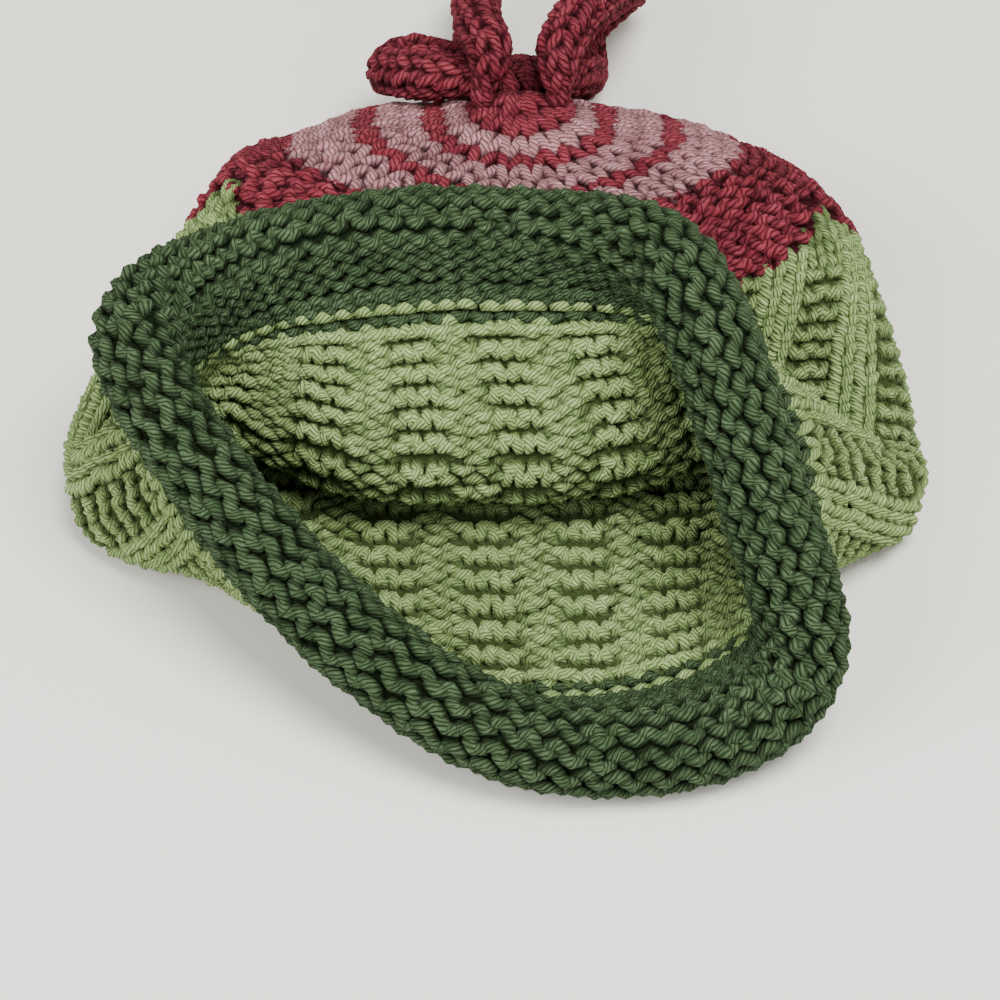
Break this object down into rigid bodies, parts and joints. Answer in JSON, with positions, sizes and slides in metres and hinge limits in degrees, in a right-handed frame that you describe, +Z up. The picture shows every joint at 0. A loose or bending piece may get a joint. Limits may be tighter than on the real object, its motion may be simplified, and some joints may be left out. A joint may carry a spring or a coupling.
{
  "type": "knitted beanie",
  "caption": "Hand-knitted baby beanie lying with its mouth open: rolled brim, garter-rib body, zigzag crown band, ringed crown and loops of knitted cord on the tip.",
  "frame": {"origin": "middle of the hat's footprint on the surface that it lies on", "axes": "+Z up, +Y from the mouth to the crown, +X to the right seen from the mouth"},
  "size_m": [0.1702, 0.2224, 0.0646],
  "materials": {
    "dark_green_yarn": "matt plied yarn",
    "light_green_yarn": "matt plied yarn",
    "dark_red_yarn": "matt plied yarn",
    "pink_yarn": "matt plied yarn"
  },
  "bodies": {
    "root": {"brim": "dark_green_yarn", "body": "light_green_yarn", "crown_band": "dark_red_yarn", "crown_outer": "pink_yarn", "ring_outer": "dark_red_yarn", "crown_middle": "pink_yarn", "ring_inner": "dark_red_yarn", "crown_inner": "pink_yarn", "crown_tip": "dark_red_yarn", "loop_left": "dark_red_yarn", "loop_middle": "dark_red_yarn", "loop_right": "dark_red_yarn"}
  },
  "joints": []
}
